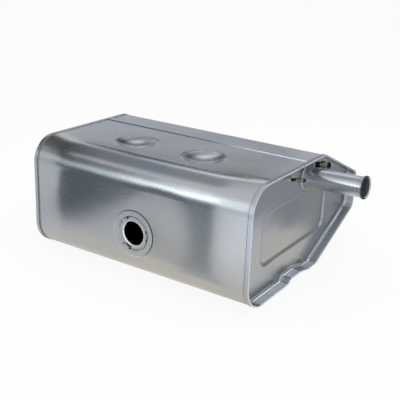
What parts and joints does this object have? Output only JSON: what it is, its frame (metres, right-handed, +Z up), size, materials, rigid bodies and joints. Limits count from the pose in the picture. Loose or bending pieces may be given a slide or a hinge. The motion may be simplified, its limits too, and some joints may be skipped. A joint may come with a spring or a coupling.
{
  "type": "fuel tank",
  "caption": "Bare steel fuel tank: a wrapped shell with folded end caps, sender seat in the front, filler neck and hose nipples on the right end.",
  "frame": {"origin": "on the tank's flat underside, midway between the two rims and 120 mm behind the front face", "axes": "+X along the tank to the end with the filler neck, +Y from the front face with the sender seat to the rear wall, +Z up"},
  "size_m": [0.6749, 0.5112, 0.2584],
  "materials": {
    "wrapper_sheet": "bare coated sheet, satin with a fine mottle",
    "cap_sheet": "bare coated sheet, satin",
    "ring_steel": "bare, smooth",
    "neck_steel": "zinc-plated, smooth",
    "nipple_steel": "plated, smooth",
    "baffle_sheet": "bare sheet"
  },
  "bodies": {
    "root": {"tank_body": "wrapper_sheet", "end_cap_right": "cap_sheet", "end_cap_left": "cap_sheet", "sender_ring": "ring_steel", "filler_neck": "neck_steel", "vent_nipple_front": "nipple_steel", "vent_nipple_rear": "nipple_steel", "baffle_right": "baffle_sheet", "baffle_left": "baffle_sheet"}
  },
  "joints": []
}
